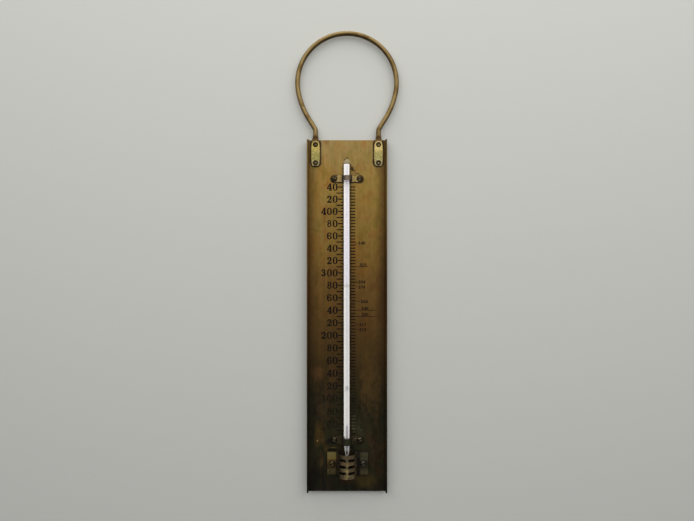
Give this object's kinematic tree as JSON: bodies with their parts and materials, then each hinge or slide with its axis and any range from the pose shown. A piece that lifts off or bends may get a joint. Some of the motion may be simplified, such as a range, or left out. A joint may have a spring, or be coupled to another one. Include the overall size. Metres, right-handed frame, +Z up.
{
  "type": "sugar thermometer",
  "caption": "Hanging scale plate with folded edges, a clipped glass tube with rising mercury, a slotted bulb guard and a round loop to hang it by.",
  "frame": {"origin": "the inside top of the hanging loop, on the middle of its rod, where a hook or peg carries it", "axes": "+Z up along the tube, +X to the viewer's right across the scale, -Y out of the scale's face"},
  "size_m": [0.0684, 0.0134, 0.3032],
  "materials": {
    "plate_brass": "brushed brass, tarnished from golden brown at the top to near black at the foot",
    "loop_brass": "old drawn brass rod, worn bright on the flattened pads",
    "rivet_brass": "dark tarnished brass",
    "clip_brass": "dark olive tarnish",
    "screw_brass": "dark olive tarnish, slots nearly black",
    "nut_brass": "dull tarnished brass",
    "guard_brass": "khaki tarnish with reddish stains, edges rubbed bright",
    "tube_glass": "clear drawn glass",
    "enamel": "opaque white glass",
    "mercury": "liquid mirror",
    "packing": "thin dark leather",
    "black_filling": "black wax filling, rubbed flush"
  },
  "bodies": {
    "instrument": {"scale_plate": "plate_brass", "hanging_loop": "loop_brass", "upper_left_loop_rivet": "rivet_brass", "lower_left_loop_rivet": "rivet_brass", "upper_right_loop_rivet": "rivet_brass", "lower_right_loop_rivet": "rivet_brass", "glass_tube": "tube_glass", "enamel_strip": "enamel", "bulb_mercury": "mercury", "mercury_thread": "mercury", "upper_clip": "clip_brass", "lower_clip": "clip_brass", "upper_packing": "packing", "lower_packing": "packing", "upper_left_clip_screw": "screw_brass", "upper_right_clip_screw": "screw_brass", "lower_left_clip_screw": "screw_brass", "lower_right_clip_screw": "screw_brass", "upper_left_clip_nut": "nut_brass", "upper_right_clip_nut": "nut_brass", "lower_left_clip_nut": "nut_brass", "lower_right_clip_nut": "nut_brass", "bulb_guard": "guard_brass", "left_guard_screw": "screw_brass", "right_guard_screw": "screw_brass", "left_guard_nut": "nut_brass", "right_guard_nut": "nut_brass", "scale_marks": "black_filling", "scale_numerals": "black_filling", "index_marks": "black_filling", "index_numbers": "black_filling"},
    "column": {"mercury_column_head": "mercury"},
    "bead": {"mercury_bead": "mercury"}
  },
  "joints": [
    {"name": "mercury_rise", "type": "slide", "parent": "instrument", "child": "column", "axis": [0, 0, 1], "range_m": [0, 0.1564], "deforming": ["mercury_thread"]},
    {"name": "bead_rise", "type": "slide", "parent": "instrument", "child": "bead", "axis": [0, 0, 1], "range_m": [0, 0.1349]}
  ],
  "couplings": [
    {"joint": "bead_rise", "follows": "mercury_rise", "ratio": 0.862}
  ]
}
